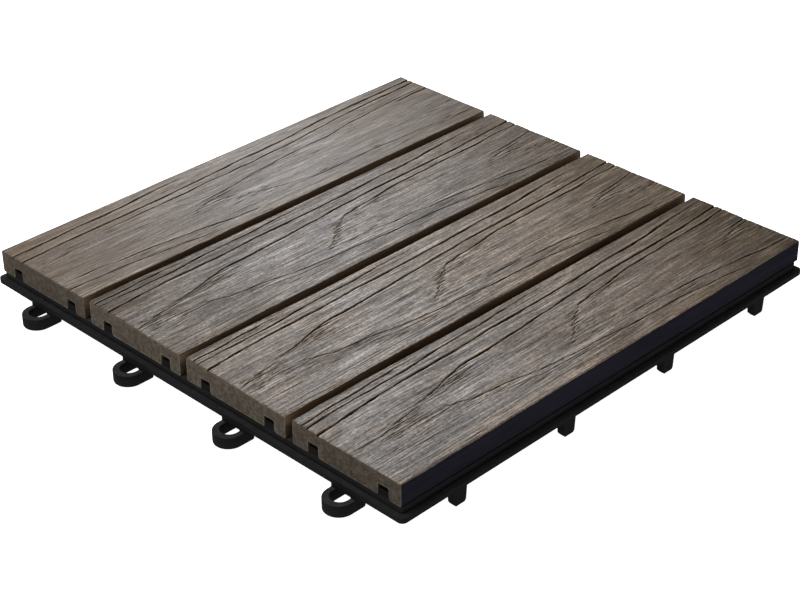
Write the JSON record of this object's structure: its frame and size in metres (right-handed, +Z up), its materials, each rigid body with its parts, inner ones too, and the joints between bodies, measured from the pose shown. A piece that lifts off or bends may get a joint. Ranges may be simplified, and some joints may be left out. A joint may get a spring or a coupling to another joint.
{
  "type": "interlocking deck tile",
  "caption": "Square interlocking deck tile: wood-composite slats with embossed grain on a one-piece plastic base with edge loops and pegs.",
  "frame": {"origin": "on the ground under the centre of the square flange, on the underside of the central foot", "axes": "+Z up; +Y along the slats; +X across them; the edge loops are on the -X and -Y edges and the edge pegs on the +X and +Y edges"},
  "size_m": [0.3105, 0.3105, 0.029],
  "materials": {
    "base_plastic": "moulded, semi-matt black",
    "wood_composite": "embossed weathered grain, matt",
    "screw_steel": "zinc plated"
  },
  "bodies": {
    "root": {"base_grid": "base_plastic", "base_feet": "base_plastic", "edge_loops": "base_plastic", "edge_pegs": "base_plastic", "slat_1": "wood_composite", "slat_2": "wood_composite", "slat_3": "wood_composite", "slat_4": "wood_composite", "deck_screws": "screw_steel"}
  },
  "joints": []
}
